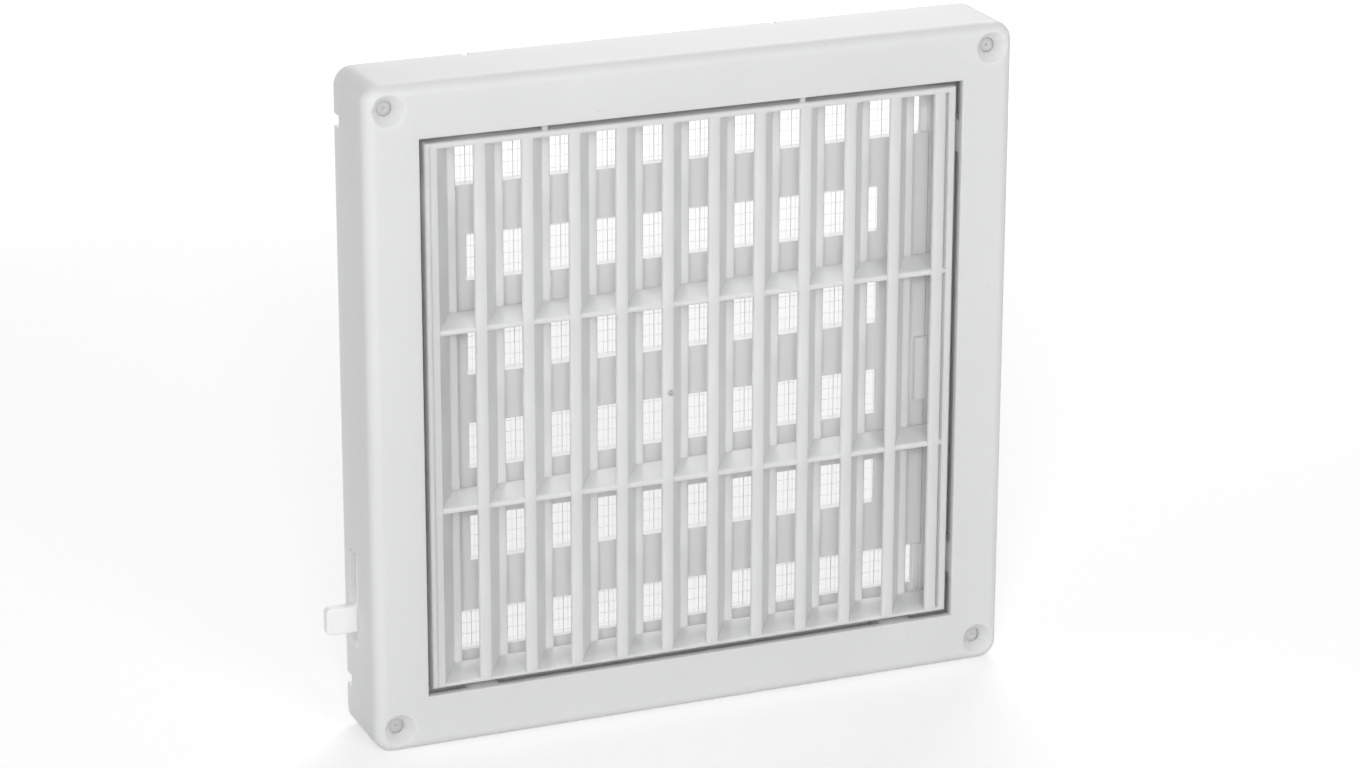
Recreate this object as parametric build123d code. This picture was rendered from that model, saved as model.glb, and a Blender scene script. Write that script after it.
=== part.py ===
from build123d import *
import os

# Closable ventilation grille for wall mounting, in millimetres.
# A square open-backed casing holds a louvre insert behind its opening. Behind the louvres a slotted
# shutter slides up and down in front of a fixed slotted plate, and an insect net covers that plate.
# +X is right, +Z is up and the front faces -Y. The origin is the centre of the casing's back plane.

# Casing
casing_width = 182.0
casing_height = 182.0
casing_depth = 24.0
casing_wall = 2.0
face_thickness = 2.4
outline_corner_radius = 5.0
front_edge_radius = 3.2
face_side_width = 14.7
face_end_height = 14.7
opening_edge_radius = 0.3

# Screw holes in the four corners: a deep countersink, and behind it a tube that ends at the wall
screw_inset = 6.5
screw_hole_diameter = 4.0
countersink_diameter = 8.8
countersink_depth = 3.2
countersink_floor = 1.6
boss_diameter = 10.8
screw_tube_diameter = 7.2

# Collar inside the casing, which takes the insert and the back plate, with snap hooks at its back
collar_ledge = 3.0
collar_wall = 1.6
insert_post_length = 9.0
insert_post_inset = 16.0
hook_length = 14.0
hook_reach = 1.2
hook_ramp = 2.0
hook_inset = 34.3
collar_setback = 2.8

# Louvre insert
insert_recess = 0.6
insert_gap = 1.6
insert_flange_thickness = 1.6
insert_edge_radius = 0.8
left_border_width = 3.3
right_border_width = 2.1
top_border_height = 1.5
bottom_border_height = 1.1
border_wall = 1.2
groove_width = 0.25
groove_depth = 0.3
nub_width = 1.4
nub_depth = 1.8
left_nub_slats = 2.28
right_nub_slats = 7.83

# Slats of the insert: a flat nose, a slanting web and a lip along the web's back edge
slat_count = 11
last_slat_gap = 1.0
nose_width = 3.1
nose_thickness = 1.0
nose_radius = 0.8
web_thickness = 1.5
web_start = 0.8
web_setback = 0.8
view_gap = 2.2
lip_width = 2.2
lip_thickness = 1.0

# Crossbars of the insert, each a tray that rises towards the back
crossbar_count = 2
crossbar_setback = 0.4
crossbar_front_height = 1.8
crossbar_front_radius = 0.7
crossbar_thickness = 0.9
crossbar_rise = 2.1
crossbar_back_gap = 1.6

# Shutter and its lever
shutter_thickness = 1.8
shutter_distance = 3.6
shutter_side_margin = 14.1
slot_corner_radius = 0.6
shutter_bar_overlap = 0.2
shutter_foot = 1.0
lever_height = 7.6
lever_drop = 1.6
lever_reach = 8.4
lever_grip_thickness = 2.6
lever_corner_radius = 1.3
lever_edge_radius = 0.6
lever_root = 5.0

# Rows of slots in the fixed back plate
slot_rows = 6
slot_row_margin = 4.8

# Fixed back plate: a shallow tray with guides, keepers and stops for the shutter
back_plate_thickness = 1.8
back_slot_margin = 1.5
rim_wall = 1.6
guide_inset = 5.5
keeper_height = 18.0
keeper_centre = -7.7
keeper_reach = 3.7
keeper_thickness = 1.4
stop_reach = 1.3

# Insect net
net_thickness = 0.6
net_border = 2.4
net_strand = 0.5
net_columns = 11
net_rows = 10
net_rim = 1.6

# Lever slot and notches in the casing's walls
lever_slot_depth = 6.4
lever_slot_above = 1.6
lever_slot_below = 4.4
wall_notch_height = 3.2
wall_notch_depth = 3.8
wall_notch_inset = 13.8
top_notch_width = 1.6
top_notch_depth = 2.0
top_notch_left_inset = 35.5
top_notch_right_inset = 60.0

# Clearances between the pieces
fit_clearance = 0.3
slide_clearance = 0.2
lever_slot_clearance = 0.4

# How far each cutting shape reaches past the surface that it cuts
cut_margin = 1.0

# Places along the depth, from the back to the front
collar_back_y = -collar_setback
hook_catch_y = collar_back_y - hook_ramp
rim_back_y = hook_catch_y - slide_clearance
net_back_y = rim_back_y - slide_clearance
plate_back_y = net_back_y - net_thickness
plate_front_y = plate_back_y - back_plate_thickness
shutter_back_y = plate_front_y - slide_clearance
shutter_front_y = shutter_back_y - shutter_thickness
keeper_back_y = shutter_front_y - slide_clearance
keeper_front_y = keeper_back_y - keeper_thickness
insert_back_y = shutter_front_y - shutter_distance
face_front_y = -casing_depth
insert_front_y = face_front_y + insert_recess
face_back_y = face_front_y + face_thickness
sink_back_y = face_front_y + countersink_depth + countersink_floor
flange_back_y = insert_back_y
flange_front_y = flange_back_y - insert_flange_thickness
insert_depth = insert_back_y - insert_front_y
web_depth = insert_depth - web_start - lip_thickness - web_setback
crossbar_run = insert_depth - crossbar_setback - crossbar_back_gap

# Widths and heights that fit into each other
opening_width = casing_width - 2 * face_side_width
opening_height = casing_height - 2 * face_end_height
collar_inner_width = opening_width + 2 * collar_ledge
collar_inner_height = opening_height + 2 * collar_ledge
insert_width = opening_width - 2 * insert_gap
insert_height = opening_height - 2 * insert_gap
tray_width = collar_inner_width - 2 * fit_clearance
tray_height = collar_inner_height - 2 * fit_clearance
guide_inner_x = tray_width / 2 - guide_inset
shutter_half_width = guide_inner_x - slide_clearance
shutter_slot_width = 2 * (shutter_half_width - shutter_side_margin)
back_slot_width = 2 * (guide_inner_x - back_slot_margin)
net_width = tray_width - 2 * net_rim - 2 * fit_clearance
net_height = tray_height - 2 * net_rim - 2 * fit_clearance
hook_place = collar_inner_width / 2 - hook_inset
wall_notch_place = casing_height / 2 - wall_notch_inset
top_notch_places = (top_notch_left_inset - casing_width / 2, casing_width / 2 - top_notch_right_inset)

# Slat places: the right edge of the left border, and of each nose after it
first_edge_x = -insert_width / 2 + left_border_width
right_wall_x = insert_width / 2 - right_border_width
cells_bottom_z = -insert_height / 2 + bottom_border_height
cells_top_z = insert_height / 2 - top_border_height
slat_pitch = (right_wall_x - last_slat_gap - first_edge_x) / slat_count
web_shift = slat_pitch - nose_width - lip_width - view_gap
nub_places = (first_edge_x + left_nub_slats * slat_pitch, first_edge_x + right_nub_slats * slat_pitch)

# Slot rows, and shutter and lever heights with the shutter open, which is its lowest place
slot_row_pitch = (opening_height - 2 * slot_row_margin) / (slot_rows - 0.5)
slot_height = slot_row_pitch / 2
shutter_travel = slot_row_pitch - slot_height
top_row_z = (slot_rows - 1) * slot_row_pitch / 2
shutter_top_z = top_row_z - slot_height / 2 + shutter_bar_overlap
shutter_bottom_z = -top_row_z + slot_height / 2 - shutter_foot
lever_bottom_z = shutter_bottom_z - lever_drop
lever_top_z = lever_bottom_z + lever_height
lever_slot_bottom_z = lever_bottom_z - lever_slot_below
lever_slot_top_z = lever_top_z + shutter_travel + lever_slot_above
lever_slot_front_y = shutter_front_y - lever_slot_clearance
lever_tip_x = -casing_width / 2 - lever_reach


def slab(outline, front_y, back_y):
    # Solid between two depths, from an outline drawn with X across and Z up
    return extrude(Plane.XZ.offset(-back_y) * outline, amount=back_y - front_y)


def prism_along_x(profile, start_x, length):
    # Solid of constant section along X, from a profile drawn with Y across and Z up
    return extrude(Plane.YZ.offset(start_x) * profile, amount=length, dir=(1, 0, 0))


def prism_along_z(profile, start_z, height):
    # Solid of constant section along Z, from a profile drawn with X across and Y up the page
    return extrude(Plane.XY.offset(start_z) * profile, amount=height, dir=(0, 0, 1))


def block(left_x, right_x, front_y, back_y, bottom_z, top_z):
    size = Box(right_x - left_x, back_y - front_y, top_z - bottom_z)
    return Pos((left_x + right_x) / 2, (front_y + back_y) / 2, (bottom_z + top_z) / 2) * size


def frame_ring(outer_width, outer_height, inner_width, inner_height, front_y, back_y):
    outline = Rectangle(outer_width, outer_height) - Rectangle(inner_width, inner_height)
    return slab(outline, front_y, back_y)


def screw_places():
    x = casing_width / 2 - screw_inset
    z = casing_height / 2 - screw_inset
    return [(side * x, level * z) for side in (-1, 1) for level in (-1, 1)]


def casing_shell():
    outer = slab(RectangleRounded(casing_width, casing_height, outline_corner_radius), face_front_y, 0)
    front_edges = outer.faces().sort_by(Axis.Y)[0].edges()
    outer = fillet(front_edges, front_edge_radius)
    inner_width = casing_width - 2 * casing_wall
    inner_height = casing_height - 2 * casing_wall
    inner_radius = max(outline_corner_radius - casing_wall, 0.5)
    inner = slab(RectangleRounded(inner_width, inner_height, inner_radius), face_back_y, 0)
    inner_edges = inner.faces().sort_by(Axis.Y)[0].edges()
    inner = fillet(inner_edges, min(max(front_edge_radius - casing_wall, 0.3), inner_radius * 0.9))
    return outer - inner


def casing_hooks():
    # Snap hooks over the back plate's rim, two on the collar's top wall and two on its bottom wall
    wall_z = collar_inner_height / 2
    hooks = []
    for level in (-1, 1):
        profile = Polygon(
            (hook_catch_y, level * (wall_z + collar_wall / 2)),
            (hook_catch_y, level * (wall_z - hook_reach)),
            (collar_back_y, level * wall_z),
            (collar_back_y, level * (wall_z + collar_wall / 2)),
            align=None,
        )
        for side in (-1, 1):
            start = side * hook_place - hook_length / 2
            hooks.append(prism_along_x(profile, start, hook_length))
    return hooks


def insert_posts():
    # Posts behind the face, on the collar's walls, which the insert's flange is pressed against
    outer = frame_ring(
        collar_inner_width + collar_wall, collar_inner_height + collar_wall,
        opening_width, opening_height, face_back_y - face_thickness / 2, flange_front_y,
    )
    places = []
    for side in (-1, 1):
        for level in (-1, 1):
            places.append((side * (opening_width / 2 - insert_post_inset), level * collar_inner_height / 2))
            places.append((side * collar_inner_width / 2, level * (opening_height / 2 - insert_post_inset)))
    posts = []
    for x, z in places:
        posts.append(outer & block(
            x - insert_post_length / 2, x + insert_post_length / 2, face_front_y, 0,
            z - insert_post_length / 2, z + insert_post_length / 2,
        ))
    return posts


def countersunk_hole(x, z):
    hole = slab(Pos(x, z) * Circle(screw_hole_diameter / 2), face_front_y - cut_margin, cut_margin)
    spread = (countersink_diameter - screw_hole_diameter) / 2 / countersink_depth
    rim_radius = countersink_diameter / 2 + spread * cut_margin
    cone = Cone(screw_hole_diameter / 2, rim_radius, countersink_depth + cut_margin)
    sink = Pos(x, face_front_y + (countersink_depth - cut_margin) / 2, z) * Rot(90, 0, 0) * cone
    return hole + sink


def casing_wall_cuts():
    left_x = -casing_width / 2
    collar_left_x = -collar_inner_width / 2
    cuts = [
        block(
            left_x - cut_margin, left_x + casing_wall + cut_margin,
            lever_slot_front_y, lever_slot_front_y + lever_slot_depth,
            lever_slot_bottom_z, lever_slot_top_z,
        ),
        block(
            collar_left_x - collar_wall - cut_margin, collar_left_x + cut_margin,
            lever_slot_front_y, collar_back_y + cut_margin,
            lever_slot_bottom_z, lever_slot_top_z,
        ),
    ]
    for level in (-1, 1):
        middle = level * wall_notch_place
        cuts.append(block(
            left_x - cut_margin, left_x + casing_wall + cut_margin, -wall_notch_depth, cut_margin,
            middle - wall_notch_height / 2, middle + wall_notch_height / 2,
        ))
    top_z = casing_height / 2
    for x in top_notch_places:
        cuts.append(block(
            x - top_notch_width / 2, x + top_notch_width / 2, -top_notch_depth, cut_margin,
            top_z - casing_wall - cut_margin, top_z + cut_margin,
        ))
    return cuts


def make_front_casing():
    casing = casing_shell()
    casing += frame_ring(
        collar_inner_width + 2 * collar_wall, collar_inner_height + 2 * collar_wall,
        collar_inner_width, collar_inner_height, face_back_y, collar_back_y,
    )
    for piece in casing_hooks() + insert_posts():
        casing += piece
    for x, z in screw_places():
        casing += slab(Pos(x, z) * Circle(boss_diameter / 2), face_back_y, sink_back_y)
        casing += slab(Pos(x, z) * Circle(screw_tube_diameter / 2), face_back_y, 0)
    casing -= slab(Rectangle(opening_width, opening_height), face_front_y - cut_margin, face_back_y)
    front_face = casing.faces().filter_by(Axis.Y).sort_by(Axis.Y)[0]
    casing = fillet(front_face.inner_wires()[0].edges(), opening_edge_radius)
    for x, z in screw_places():
        casing -= countersunk_hole(x, z)
    for cut in casing_wall_cuts():
        casing -= cut
    return casing


def slat_profile(edge_x):
    # Section through one slat, drawn with X across and Y up the page; edge_x is the nose's right edge
    slope = web_shift / web_depth
    web_front_y = insert_front_y + web_start
    nose_back_y = insert_front_y + nose_thickness
    foot_y = web_front_y + web_depth
    end_y = foot_y + lip_thickness
    web_back_x = edge_x - web_thickness
    outline = Polygon(
        (edge_x - nose_width, insert_front_y),
        (edge_x, insert_front_y),
        (edge_x, web_front_y),
        (edge_x + web_shift, foot_y),
        (edge_x + web_shift + lip_width, foot_y),
        (edge_x + web_shift + lip_width, end_y),
        (web_back_x + slope * (end_y - web_front_y), end_y),
        (web_back_x + slope * (nose_back_y - web_front_y), nose_back_y),
        (edge_x - nose_width, nose_back_y),
        align=None,
    )
    nose_corner = outline.vertices().sort_by_distance((edge_x - nose_width, insert_front_y, 0))[0]
    return fillet(nose_corner, min(nose_radius, nose_thickness * 0.9))


def slat_edges():
    return [first_edge_x + number * slat_pitch for number in range(slat_count + 1)]


def insert_slats():
    height = cells_top_z - cells_bottom_z + border_wall
    slats = []
    for edge_x in slat_edges():
        slat = prism_along_z(slat_profile(edge_x), cells_bottom_z - border_wall / 2, height)
        slats.append(slat & block(
            -insert_width / 2 + border_wall / 2, right_wall_x + right_border_width / 2,
            insert_front_y, insert_back_y, -insert_height, insert_height,
        ))
    return slats


def tray_levels():
    # Top of each tray's front edge: the bottom border's tray first, then the crossbars
    pitch = (cells_top_z - cells_bottom_z) / (crossbar_count + 1)
    return [cells_bottom_z + number * pitch for number in range(crossbar_count + 1)]


def tray_bar(front_z, front_height):
    # Tray with a rounded front edge, which rises and grows thinner towards the back
    front_y = insert_front_y + crossbar_setback
    back_y = front_y + crossbar_run
    profile = Polygon(
        (front_y, front_z - front_height),
        (front_y, front_z),
        (back_y, front_z + crossbar_rise),
        (back_y, front_z + crossbar_rise - crossbar_thickness),
        align=None,
    )
    front_corners = profile.vertices().sort_by(Axis.X)[:2]
    profile = fillet(front_corners, min(crossbar_front_radius, front_height * 0.4))
    start_x = -insert_width / 2 + border_wall * 0.75
    end_x = right_wall_x + right_border_width * 0.75
    return prism_along_x(profile, start_x, end_x - start_x)


def insert_border():
    border = slab(Rectangle(insert_width, insert_height), insert_front_y, insert_back_y)
    border = fillet(border.faces().sort_by(Axis.Y)[0].edges(), insert_edge_radius)
    groove_x = -insert_width / 2 + border_wall
    border -= block(
        groove_x, groove_x + groove_width, insert_front_y - cut_margin, insert_front_y + groove_depth,
        -insert_height, insert_height,
    )
    border -= block(
        first_edge_x, right_wall_x,
        insert_front_y - cut_margin, insert_back_y + cut_margin, cells_bottom_z, cells_top_z,
    )
    border -= block(
        -insert_width / 2 + border_wall, right_wall_x,
        insert_front_y + nose_thickness, insert_back_y + cut_margin, cells_bottom_z, cells_top_z,
    )
    return border


def insert_nubs():
    top_z = insert_height / 2
    nubs = []
    for x in nub_places:
        nubs.append(block(
            x - nub_width / 2, x + nub_width / 2,
            insert_front_y + insert_edge_radius, insert_front_y + insert_edge_radius + nub_depth,
            top_z - top_border_height / 2, opening_height / 2 - slide_clearance,
        ))
    return nubs


def make_louvre_insert():
    insert = insert_border()
    insert += frame_ring(
        tray_width, tray_height, insert_width - border_wall, insert_height - bottom_border_height,
        flange_front_y, flange_back_y,
    )
    bottom_level, *bar_levels = tray_levels()
    trays = [tray_bar(bottom_level, crossbar_thickness)]
    trays += [tray_bar(level, crossbar_front_height) for level in bar_levels]
    return insert + (trays + insert_slats() + insert_nubs())


def slot_outline(width, middle_z):
    return Pos(0, middle_z) * RectangleRounded(width, slot_height, slot_corner_radius)


def row_heights():
    return [top_row_z - number * slot_row_pitch for number in range(slot_rows)]


def shutter_slot(middle_z):
    height = slot_height - 2 * shutter_bar_overlap
    outline = Pos(0, middle_z) * RectangleRounded(shutter_slot_width, height, slot_corner_radius)
    return slab(outline, shutter_front_y - cut_margin, shutter_back_y + cut_margin)


def shutter_lever():
    # Arm out of the plate's lower left corner, with a thicker grip outside the collar
    arm = block(
        lever_tip_x, -shutter_half_width + lever_root,
        shutter_front_y, shutter_back_y, lever_bottom_z, lever_top_z,
    )
    grip_end_x = -collar_inner_width / 2 - collar_wall - lever_slot_clearance
    grip = block(
        lever_tip_x, grip_end_x, shutter_front_y, shutter_front_y + lever_grip_thickness,
        lever_bottom_z, lever_top_z,
    )
    lever = arm + grip
    tip_edges = lever.edges().filter_by(Axis.Y).group_by(Axis.X)[0]
    lever = fillet(tip_edges, lever_corner_radius)
    tip_face = lever.faces().sort_by(Axis.Y)[0]
    outer_edges = tip_face.edges().filter_by(lambda edge: edge.center().X < -casing_width / 2)
    return fillet(outer_edges, lever_edge_radius)


def make_shutter():
    plate = block(
        -shutter_half_width, shutter_half_width,
        shutter_front_y, shutter_back_y, shutter_bottom_z, shutter_top_z,
    )
    plate = plate + shutter_lever()
    for middle_z in row_heights()[1:-1]:
        plate -= shutter_slot(middle_z)
    return plate


def shutter_guides():
    # One guide beside each edge of the shutter, with a keeper in front and stops at both ends
    guides = []
    half_height = tray_height / 2 - rim_wall / 2
    keeper_bottom_z = keeper_centre - keeper_height / 2
    keeper_top_z = keeper_centre + keeper_height / 2
    low_stops = {-1: lever_bottom_z - slide_clearance, 1: shutter_bottom_z - slide_clearance}
    high_stop_z = shutter_top_z + shutter_travel + slide_clearance
    for side in (-1, 1):
        outer_x = side * (tray_width / 2 - rim_wall / 2)
        inner_x = side * guide_inner_x
        keeper_x = side * (guide_inner_x - keeper_reach)
        stop_x = side * (guide_inner_x - stop_reach)
        shapes = [
            (outer_x, inner_x, keeper_back_y, plate_front_y, -half_height, half_height),
            (outer_x, keeper_x, keeper_front_y, keeper_back_y, keeper_bottom_z, keeper_top_z),
            (inner_x, stop_x, shutter_front_y, plate_front_y, -half_height, low_stops[side]),
            (inner_x, stop_x, shutter_front_y, plate_front_y, high_stop_z, half_height),
        ]
        for first_x, second_x, front_y, back_y, bottom_z, top_z in shapes:
            guides.append(block(
                min(first_x, second_x), max(first_x, second_x), front_y, back_y, bottom_z, top_z,
            ))
    return guides


def make_back_plate():
    plate = slab(Rectangle(tray_width, tray_height), plate_front_y, plate_back_y)
    plate += frame_ring(
        tray_width, tray_height, tray_width - 2 * rim_wall, tray_height - 2 * rim_wall,
        flange_back_y, plate_front_y,
    )
    plate += frame_ring(
        tray_width, tray_height, tray_width - 2 * net_rim, tray_height - 2 * net_rim,
        plate_back_y, rim_back_y,
    )
    for guide in shutter_guides():
        plate += guide
    for middle_z in row_heights():
        slot = slot_outline(back_slot_width, middle_z)
        plate -= slab(slot, plate_front_y - cut_margin, plate_back_y + cut_margin)
    plate -= block(
        -tray_width / 2 - cut_margin, -guide_inner_x, flange_back_y - cut_margin, plate_front_y,
        lever_slot_bottom_z, lever_slot_top_z,
    )
    return plate


def make_insect_net():
    net = frame_ring(
        net_width, net_height, net_width - 2 * net_border, net_height - 2 * net_border,
        plate_back_y, net_back_y,
    )
    inner_width = net_width - 2 * net_border
    inner_height = net_height - 2 * net_border
    column_pitch = inner_width / net_columns
    row_pitch = inner_height / net_rows
    for number in range(1, net_columns):
        x = -inner_width / 2 + number * column_pitch
        strand = Pos(x, 0) * Rectangle(net_strand, inner_height + net_border)
        net += slab(strand, plate_back_y, net_back_y)
    for number in range(1, net_rows):
        z = -inner_height / 2 + number * row_pitch
        strand = Pos(0, z) * Rectangle(inner_width + net_border, net_strand)
        net += slab(strand, plate_back_y, net_back_y)
    return net


def main():
    os.makedirs("parts", exist_ok=True)
    pieces = {
        "front_casing": make_front_casing(),
        "louvre_insert": make_louvre_insert(),
        "shutter": make_shutter(),
        "slotted_back_plate": make_back_plate(),
        "insect_net": make_insect_net(),
    }
    for name, solid in pieces.items():
        export_step(solid, f"parts/{name}.step")


main()
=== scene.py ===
import math

import bmesh
import bpy
from mathutils import Matrix, Vector


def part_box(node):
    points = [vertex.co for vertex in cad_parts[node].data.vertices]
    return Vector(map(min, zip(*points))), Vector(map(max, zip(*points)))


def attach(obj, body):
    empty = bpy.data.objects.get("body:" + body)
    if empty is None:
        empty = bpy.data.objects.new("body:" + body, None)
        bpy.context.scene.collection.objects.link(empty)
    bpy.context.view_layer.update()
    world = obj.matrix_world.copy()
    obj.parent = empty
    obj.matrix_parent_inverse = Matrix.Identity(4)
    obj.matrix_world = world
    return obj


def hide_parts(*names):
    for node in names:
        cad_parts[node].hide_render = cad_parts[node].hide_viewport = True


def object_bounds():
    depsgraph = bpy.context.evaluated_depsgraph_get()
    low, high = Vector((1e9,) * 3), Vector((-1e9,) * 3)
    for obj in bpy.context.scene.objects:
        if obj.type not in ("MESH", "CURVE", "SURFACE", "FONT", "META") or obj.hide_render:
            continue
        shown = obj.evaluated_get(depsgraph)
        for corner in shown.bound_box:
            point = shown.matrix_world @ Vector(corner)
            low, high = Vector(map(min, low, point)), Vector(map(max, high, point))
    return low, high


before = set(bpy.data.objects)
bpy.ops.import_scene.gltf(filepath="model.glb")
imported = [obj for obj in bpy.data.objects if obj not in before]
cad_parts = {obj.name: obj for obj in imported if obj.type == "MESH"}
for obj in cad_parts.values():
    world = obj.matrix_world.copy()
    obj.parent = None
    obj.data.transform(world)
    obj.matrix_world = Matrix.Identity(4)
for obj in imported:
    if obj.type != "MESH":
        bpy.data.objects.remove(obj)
cad_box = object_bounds()

MM = 0.001

# Camera: a long lens from the front left, looking slightly down at the middle of the front face.
# Angles are in degrees, lengths in metres, the focal length in pixels of the image's width
IMAGE_WIDTH = 1360
FOCAL_PIXELS = 4444
SENSOR_WIDTH = 36.0
CAMERA_YAW = 22.5
CAMERA_PITCH = 19.0
CAMERA_ROLL = 0.12
CAMERA_DISTANCE = 1.175
CAMERA_TO_LEFT = 0.0045
CAMERA_TO_TOP = 0.0011
CAMERA_NEAR = 0.05
CAMERA_FAR = 30.0
AIM_POINT = (0.0, -0.024, 0.0)

# Floor: pale, and wide enough to fill the view from any side. For the eye alone it glows a little,
# and more in the distance, where the lamps fade; both reaches are in metres from the origin
FLOOR_REACH = 6.0
FLOOR_COLOUR = (0.86, 0.86, 0.86)
NEAR_FLOOR_GLOW = 0.35
FAR_FLOOR_GLOW = 0.90
NEAR_REACH = 0.45
FAR_REACH = 1.7

# Soft studio light: name, azimuth and elevation in degrees, distance and size in metres, power in watts
KEY_LIGHT = ("key_light", -22.5, 21.0, 1.7, 0.5, 10.4)
FRONT_LIGHT = ("front_light", 8.0, 17.0, 1.7, 0.5, 3.7)
BACK_LIGHT = ("back_light", 150.0, 35.0, 1.5, 0.8, 8.0)
SIDE_LIGHT = ("side_light", -85.0, 15.0, 1.5, 0.8, 1.6)
WORLD_COLOUR = (1.0, 1.0, 1.0)
WORLD_STRENGTH = 0.35
SEEN_WORLD_STRENGTH = 1.0

# Colours of the plastics, as linear values
CASING_WHITE = (0.800, 0.803, 0.805)
INSERT_WHITE = (0.775, 0.778, 0.780)
# The plates' white is lighter than the casing's. This is painted light: it brightens the bars, which lie
# in shade deep behind the louvres
PLATE_WHITE_WITH_PAINTED_LIGHT = (0.930, 0.932, 0.928)
# The net's white is lighter than the casing's too. This is painted light: it brightens strands that lie
# in shade behind the plate
NET_WHITE_WITH_PAINTED_LIGHT = (0.900, 0.902, 0.904)

# Roughness of each plastic, from the bottom to the top of its grain
CASING_GLOSS = (0.42, 0.56)
INSERT_GLOSS = (0.34, 0.46)
BACK_PLATE_GLOSS = (0.36, 0.48)
SHUTTER_GLOSS = (0.28, 0.40)
NET_GLOSS = (0.40, 0.52)

# Strength of each plastic's grain, from 0 to 1
CASING_GRAIN = 0.5
INSERT_GRAIN = 0.3
BACK_PLATE_GRAIN = 0.3
SHUTTER_GRAIN = 0.2
NET_GRAIN = 0.2

# Share of the body colour that comes from light inside the two milky plastics, and how far that
# light wanders there, in millimetres
GLOW_WEIGHT = 1.0
CASING_GLOW_DEPTH = 3.0
INSERT_GLOW_DEPTH = 3.0

# Surface of all the plastics: scales are in features per metre, heights in millimetres
PLASTIC_IOR = 1.5
CLOUD_SCALE = 22.0
CLOUD_DETAIL = 3.0
CLOUD_EDGES = (0.35, 0.65)
CLOUD_SHADES = (0.985, 1.01)
GRAIN_SCALE = 3200.0
GRAIN_DETAIL = 4.0
GRAIN_ROUGHNESS = 0.65
GRAIN_EDGES = (0.3, 0.7)
GRAIN_HEIGHT = 0.02
RIPPLE_SCALE = 160.0
RIPPLE_DETAIL = 2.0
RIPPLE_STRENGTH = 0.25
RIPPLE_HEIGHT = 0.03
SPECK_SCALE = 120.0
SPECK_EDGES = (0.018, 0.030)
SPECK_SHADE = 0.80

# Insect net, in millimetres: strong ribs, each with a fine strand at either side, and rows across
NET_RIB_PITCH = 13.2
NET_RIB_OFFSET = 8.4
NET_RIB_WIDTH = 0.24
NET_FINE_OFFSET = 1.3
NET_FINE_WIDTH = 0.07
NET_ROW_PITCH = 3.1
NET_ROW_OFFSET = 12.8
NET_ROW_WIDTH = 0.10
NET_STRAND_DEPTH = 0.10
NET_BORDER = 2.4
NET_ROOT = 0.5

# Skins in the four screw holes, in millimetres; the depth is from the casing's front, and the dent
# in the middle of each is a share of the skin's radius, with a floor that is a share of the dent
SCREW_INSET = 6.5
SKIN_DEPTH = 3.4
SKIN_RADIUS = 2.05
SKIN_THICKNESS = 0.6
DENT_SHARE = 0.35
DENT_FLOOR_SHARE = 0.4
DENT_DEPTH = 0.25
DISC_SIDES = 48

# Round scar of the moulding on the front of one slat, in millimetres; flatness is a share of its radius
GATE_X = -7.2
GATE_Z = -0.6
GATE_RADIUS = 0.75
GATE_FLATNESS = 0.4
GATE_SIDES = 24
GATE_RINGS = 12


def link(thing):
    bpy.context.scene.collection.objects.link(thing)
    return thing


def make_mesh_object(name, builder):
    mesh = bpy.data.meshes.new(name)
    builder.to_mesh(mesh)
    builder.free()
    return link(bpy.data.objects.new(name, mesh))


def new_material(name):
    material = bpy.data.materials.new(name)
    material.use_nodes = True
    material.node_tree.nodes.clear()
    return material, material.node_tree


def add_node(tree, kind, **values):
    node = tree.nodes.new(kind)
    for key, value in values.items():
        setattr(node, key, value)
    return node


def set_inputs(node, **values):
    # Set a node's inputs by name, where an underscore stands for a space
    for key, value in values.items():
        node.inputs[key.replace("_", " ")].default_value = value
    return node


def noise(tree, coordinates, scale, detail, roughness=0.5):
    node = add_node(tree, "ShaderNodeTexNoise")
    set_inputs(node, Scale=scale, Detail=detail, Roughness=roughness)
    tree.links.new(coordinates, node.inputs["Vector"])
    return node.outputs["Fac"]


def map_range(tree, value, low, high, new_low, new_high):
    node = add_node(tree, "ShaderNodeMapRange")
    set_inputs(node, From_Min=low, From_Max=high, To_Min=new_low, To_Max=new_high)
    tree.links.new(value, node.inputs["Value"])
    return node.outputs["Result"]


def mix_colours(tree, share, first, second):
    # Each colour is a tuple or another node's output
    node = add_node(tree, "ShaderNodeMix", data_type="RGBA")
    share_input, first_input, second_input = node.inputs[0], node.inputs[6], node.inputs[7]
    tree.links.new(share, share_input)
    for socket, value in ((first_input, first), (second_input, second)):
        if isinstance(value, tuple):
            socket.default_value = (*value, 1.0)
        else:
            tree.links.new(value, socket)
    return node.outputs[2]


def shade(colour, factor):
    return tuple(channel * factor for channel in colour)


def plastic_tint(tree, coordinates, colour):
    # Faint clouding, and a few dust specks
    cloud = noise(tree, coordinates, CLOUD_SCALE, CLOUD_DETAIL)
    speck = set_inputs(add_node(tree, "ShaderNodeTexVoronoi"), Scale=SPECK_SCALE)
    tree.links.new(coordinates, speck.inputs["Vector"])
    cloud_share = map_range(tree, cloud, *CLOUD_EDGES, 0.0, 1.0)
    speck_share = map_range(tree, speck.outputs["Distance"], *SPECK_EDGES, 1.0, 0.0)
    dark, light = CLOUD_SHADES
    body = mix_colours(tree, cloud_share, shade(colour, dark), shade(colour, light))
    return mix_colours(tree, speck_share, body, shade(colour, SPECK_SHADE))


def bump(tree, height_map, strength, height, normal=None):
    node = set_inputs(add_node(tree, "ShaderNodeBump"), Strength=strength, Distance=height * MM)
    tree.links.new(height_map, node.inputs["Height"])
    if normal is not None:
        tree.links.new(normal, node.inputs["Normal"])
    return node.outputs["Normal"]


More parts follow.
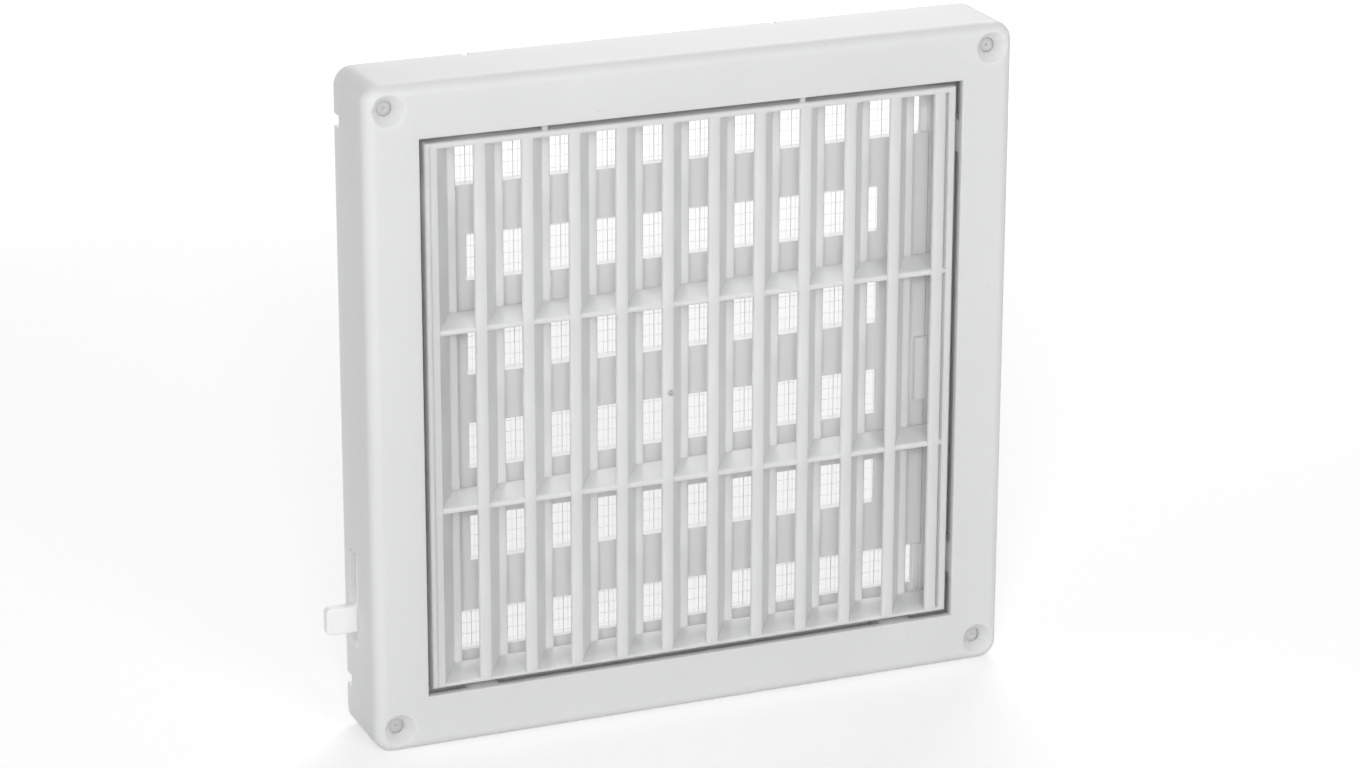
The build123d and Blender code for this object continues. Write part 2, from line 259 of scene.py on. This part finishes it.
def plastic(name, colour, gloss, grain_strength, glow_weight=0.0, glow_depth=0.0):
    # Injection moulded plastic with a fine spark-eroded grain on faint ripples
    material, tree = new_material(name)
    coordinates = add_node(tree, "ShaderNodeTexCoord").outputs["Object"]
    grain = noise(tree, coordinates, GRAIN_SCALE, GRAIN_DETAIL, GRAIN_ROUGHNESS)
    ripple = noise(tree, coordinates, RIPPLE_SCALE, RIPPLE_DETAIL)
    rippled = bump(tree, ripple, RIPPLE_STRENGTH, RIPPLE_HEIGHT)

    shader = set_inputs(
        add_node(tree, "ShaderNodeBsdfPrincipled"),
        IOR=PLASTIC_IOR,
        Subsurface_Weight=glow_weight,
        Subsurface_Radius=(1.0, 1.0, 1.0),
        Subsurface_Scale=glow_depth * MM,
    )
    tree.links.new(plastic_tint(tree, coordinates, colour), shader.inputs["Base Color"])
    tree.links.new(map_range(tree, grain, *GRAIN_EDGES, *gloss), shader.inputs["Roughness"])
    tree.links.new(bump(tree, grain, grain_strength, GRAIN_HEIGHT, rippled), shader.inputs["Normal"])

    output = add_node(tree, "ShaderNodeOutputMaterial")
    tree.links.new(shader.outputs["BSDF"], output.inputs["Surface"])
    return material


def dress_cad_nodes():
    finishes = {
        "front_casing": plastic(
            "moulded_casing", CASING_WHITE, CASING_GLOSS, CASING_GRAIN, GLOW_WEIGHT, CASING_GLOW_DEPTH,
        ),
        "louvre_insert": plastic(
            "moulded_insert", INSERT_WHITE, INSERT_GLOSS, INSERT_GRAIN, GLOW_WEIGHT, INSERT_GLOW_DEPTH,
        ),
        "slotted_back_plate": plastic(
            "moulded_back_plate", PLATE_WHITE_WITH_PAINTED_LIGHT, BACK_PLATE_GLOSS, BACK_PLATE_GRAIN,
        ),
        "shutter": plastic("moulded_shutter", PLATE_WHITE_WITH_PAINTED_LIGHT, SHUTTER_GLOSS, SHUTTER_GRAIN),
    }
    for name, material in finishes.items():
        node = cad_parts[name]
        node.data.materials.clear()
        node.data.materials.append(material)


def strands_between(low, high, pitch, offset, pattern):
    # Start and end of every strand between two edges, with the border at both; in millimetres.
    # The pattern is the shift and width of each strand of one pitch
    strands = [(low, low + NET_BORDER)]
    first = math.floor((low - offset) / pitch)
    last = math.ceil((high - offset) / pitch)
    for number in range(first, last + 1):
        for shift, width in pattern:
            middle = offset + number * pitch + shift
            if middle - width > low + NET_BORDER and middle + width < high - NET_BORDER:
                strands.append((middle - width / 2, middle + width / 2))
    strands.append((high - NET_BORDER, high))
    return strands


def net_columns(low, high):
    pattern = (
        (-NET_FINE_OFFSET, NET_FINE_WIDTH),
        (0.0, NET_RIB_WIDTH),
        (NET_FINE_OFFSET, NET_FINE_WIDTH),
    )
    return strands_between(low, high, NET_RIB_PITCH, NET_RIB_OFFSET, pattern)


def net_rows(low, high):
    return strands_between(low, high, NET_ROW_PITCH, NET_ROW_OFFSET, ((0.0, NET_ROW_WIDTH),))


def inside_border(strands):
    # The same strands, of which the outer two reach only a little way into the border
    start = strands[0][1]
    end = strands[-1][0]
    return [(start - NET_ROOT, start), *strands[1:-1], (end, end + NET_ROOT)]


def add_perforated_sheet(builder, columns, rows, front, back):
    # The strands' edges divide the sheet into cells: even ones lie on a strand, the rest are open
    xs = [edge * MM for strand in columns for edge in strand]
    zs = [edge * MM for strand in rows for edge in strand]
    points = {}

    def point(i, k, y):
        if (i, k, y) not in points:
            points[i, k, y] = builder.verts.new((xs[i], y, zs[k]))
        return points[i, k, y]

    def is_solid(i, k):
        inside = 0 <= i < len(xs) - 1 and 0 <= k < len(zs) - 1
        return inside and (i % 2 == 0 or k % 2 == 0)

    for i in range(len(xs) - 1):
        for k in range(len(zs) - 1):
            if not is_solid(i, k):
                continue
            corners = ((i, k), (i + 1, k), (i + 1, k + 1), (i, k + 1))
            neighbours = ((i, k - 1), (i + 1, k), (i, k + 1), (i - 1, k))
            builder.faces.new([point(*corner, front) for corner in corners])
            builder.faces.new([point(*corner, back) for corner in reversed(corners)])
            for start, end, neighbour in zip(corners, corners[1:] + corners[:1], neighbours):
                if not is_solid(*neighbour):
                    builder.faces.new([
                        point(*start, back), point(*end, back), point(*end, front), point(*start, front),
                    ])


def make_insect_net():
    # A full border, and thin strands that run into it at half its depth
    low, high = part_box("insect_net")
    columns = net_columns(low.x / MM, high.x / MM)
    rows = net_rows(low.z / MM, high.z / MM)
    middle = (low.y + high.y) / 2
    half_depth = NET_STRAND_DEPTH / 2 * MM
    builder = bmesh.new()
    add_perforated_sheet(builder, [columns[0], columns[-1]], [rows[0], rows[-1]], low.y, high.y)
    add_perforated_sheet(
        builder, inside_border(columns), inside_border(rows), middle - half_depth, middle + half_depth,
    )
    bmesh.ops.recalc_face_normals(builder, faces=builder.faces)
    net = make_mesh_object("insect_net_mesh", builder)
    net.data.materials.append(plastic("net_strand_plastic", NET_WHITE_WITH_PAINTED_LIGHT, NET_GLOSS, NET_GRAIN))
    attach(net, "housing")
    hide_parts("insect_net")
    return net


def add_spun_disc(builder, middle, profile):
    # Spin a profile of radius and depth, in millimetres, round an axis along Y
    rings = []
    for radius, depth in profile:
        ring = []
        for number in range(DISC_SIDES):
            angle = 2 * math.pi * number / DISC_SIDES
            across = Vector((math.cos(angle) * radius, depth, math.sin(angle) * radius))
            ring.append(builder.verts.new(middle + across * MM))
        rings.append(ring)
    for near, far in zip(rings, rings[1:]):
        for number in range(DISC_SIDES):
            following = (number + 1) % DISC_SIDES
            builder.faces.new([near[number], near[following], far[following], far[number]])
    builder.faces.new(rings[0])
    builder.faces.new(rings[-1])


def make_screw_skins():
    # A thin skin across each screw hole, with a small dent in the middle of its front
    low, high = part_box("front_casing")
    inset = SCREW_INSET * MM
    skin_y = low.y + SKIN_DEPTH * MM
    dent_radius = SKIN_RADIUS * DENT_SHARE
    profile = (
        (dent_radius * DENT_FLOOR_SHARE, DENT_DEPTH),
        (dent_radius, 0.0),
        (SKIN_RADIUS, 0.0),
        (SKIN_RADIUS, SKIN_THICKNESS),
    )
    builder = bmesh.new()
    for x in (low.x + inset, high.x - inset):
        for z in (low.z + inset, high.z - inset):
            add_spun_disc(builder, Vector((x, skin_y, z)), profile)
    bmesh.ops.recalc_face_normals(builder, faces=builder.faces)
    skins = make_mesh_object("screw_hole_skins", builder)
    skins.data.materials.append(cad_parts["front_casing"].data.materials[0])
    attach(skins, "housing")
    return skins


def make_gate_mark():
    # The small round scar that the moulding leaves on the front of one slat
    front_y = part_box("louvre_insert")[0].y
    builder = bmesh.new()
    bmesh.ops.create_uvsphere(
        builder, u_segments=GATE_SIDES, v_segments=GATE_RINGS, radius=GATE_RADIUS * MM,
    )
    for point in builder.verts:
        point.co.x += GATE_X * MM
        point.co.y = front_y + point.co.y * GATE_FLATNESS
        point.co.z += GATE_Z * MM
    for face in builder.faces:
        face.smooth = True
    mark = make_mesh_object("gate_mark", builder)
    mark.data.materials.append(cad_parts["louvre_insert"].data.materials[0])
    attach(mark, "housing")
    return mark


def seen_by_eye(tree):
    # One for what the camera sees directly, in a reflection or through something clear
    path = add_node(tree, "ShaderNodeLightPath")
    result = path.outputs["Is Camera Ray"]
    for kind in ("Is Glossy Ray", "Is Transmission Ray"):
        either = add_node(tree, "ShaderNodeMath", operation="MAXIMUM")
        tree.links.new(result, either.inputs[0])
        tree.links.new(path.outputs[kind], either.inputs[1])
        result = either.outputs[0]
    return result


def floor_paint():
    # Matt paint, to which a glow is added for the eye alone; the shadow of the object stays
    material, tree = new_material("floor_paint")
    matt = set_inputs(add_node(tree, "ShaderNodeBsdfDiffuse"), Color=(*FLOOR_COLOUR, 1.0))
    distance = add_node(tree, "ShaderNodeVectorMath", operation="LENGTH")
    tree.links.new(add_node(tree, "ShaderNodeTexCoord").outputs["Object"], distance.inputs[0])
    strength = map_range(
        tree, distance.outputs["Value"], NEAR_REACH, FAR_REACH, NEAR_FLOOR_GLOW, FAR_FLOOR_GLOW,
    )
    glow = add_node(tree, "ShaderNodeEmission")
    tree.links.new(strength, glow.inputs["Strength"])
    glowing = add_node(tree, "ShaderNodeAddShader")
    tree.links.new(matt.outputs[0], glowing.inputs[0])
    tree.links.new(glow.outputs[0], glowing.inputs[1])
    mix = add_node(tree, "ShaderNodeMixShader")
    tree.links.new(seen_by_eye(tree), mix.inputs[0])
    tree.links.new(matt.outputs[0], mix.inputs[1])
    tree.links.new(glowing.outputs[0], mix.inputs[2])
    output = add_node(tree, "ShaderNodeOutputMaterial")
    tree.links.new(mix.outputs[0], output.inputs["Surface"])
    return material


def make_floor():
    floor_z = cad_box[0].z
    builder = bmesh.new()
    corners = []
    for x, y in ((-1, -1), (1, -1), (1, 1), (-1, 1)):
        corners.append(builder.verts.new((x * FLOOR_REACH, y * FLOOR_REACH, floor_z)))
    builder.faces.new(corners)
    floor = make_mesh_object("studio_floor", builder)
    floor.data.materials.append(floor_paint())
    return floor


def make_world():
    world = bpy.data.worlds.new("studio_world")
    world.use_nodes = True
    tree = world.node_tree
    tree.nodes.clear()
    background = set_inputs(add_node(tree, "ShaderNodeBackground"), Color=(*WORLD_COLOUR, 1.0))
    strength = map_range(tree, seen_by_eye(tree), 0.0, 1.0, WORLD_STRENGTH, SEEN_WORLD_STRENGTH)
    tree.links.new(strength, background.inputs["Strength"])
    output = add_node(tree, "ShaderNodeOutputWorld")
    tree.links.new(background.outputs[0], output.inputs["Surface"])
    bpy.context.scene.world = world


def add_light(name, azimuth, elevation, distance, size, power):
    # A square lamp aimed at the origin; azimuth 0 is in front of the object and 90 at its right
    data = bpy.data.lights.new(name, "AREA")
    data.shape = "SQUARE"
    data.size = size
    data.energy = power
    turn, rise = math.radians(azimuth), math.radians(elevation)
    place = Vector((math.sin(turn) * math.cos(rise), -math.cos(turn) * math.cos(rise), math.sin(rise)))
    light = link(bpy.data.objects.new(name, data))
    light.location = place * distance
    light.rotation_euler = (-place).to_track_quat("-Z", "Y").to_euler()
    return light


def make_camera():
    data = bpy.data.cameras.new("studio_camera")
    data.sensor_fit = "HORIZONTAL"
    data.sensor_width = SENSOR_WIDTH
    data.lens = FOCAL_PIXELS / IMAGE_WIDTH * SENSOR_WIDTH
    data.clip_start = CAMERA_NEAR
    data.clip_end = CAMERA_FAR
    turn = (
        Matrix.Rotation(math.radians(-CAMERA_YAW), 3, "Z")
        @ Matrix.Rotation(math.radians(90 - CAMERA_PITCH), 3, "X")
        @ Matrix.Rotation(math.radians(CAMERA_ROLL), 3, "Z")
    )
    offset = Vector((-CAMERA_TO_LEFT, CAMERA_TO_TOP, CAMERA_DISTANCE))
    camera = link(bpy.data.objects.new("studio_camera", data))
    camera.matrix_world = Matrix.Translation(Vector(AIM_POINT) + turn @ offset) @ turn.to_4x4()
    bpy.context.scene.camera = camera


make_camera()
make_world()
make_floor()
for light in (KEY_LIGHT, FRONT_LIGHT, BACK_LIGHT, SIDE_LIGHT):
    add_light(*light)
dress_cad_nodes()
make_insect_net()
make_screw_skins()
make_gate_mark()
bpy.context.scene.view_settings.view_transform = "Standard"
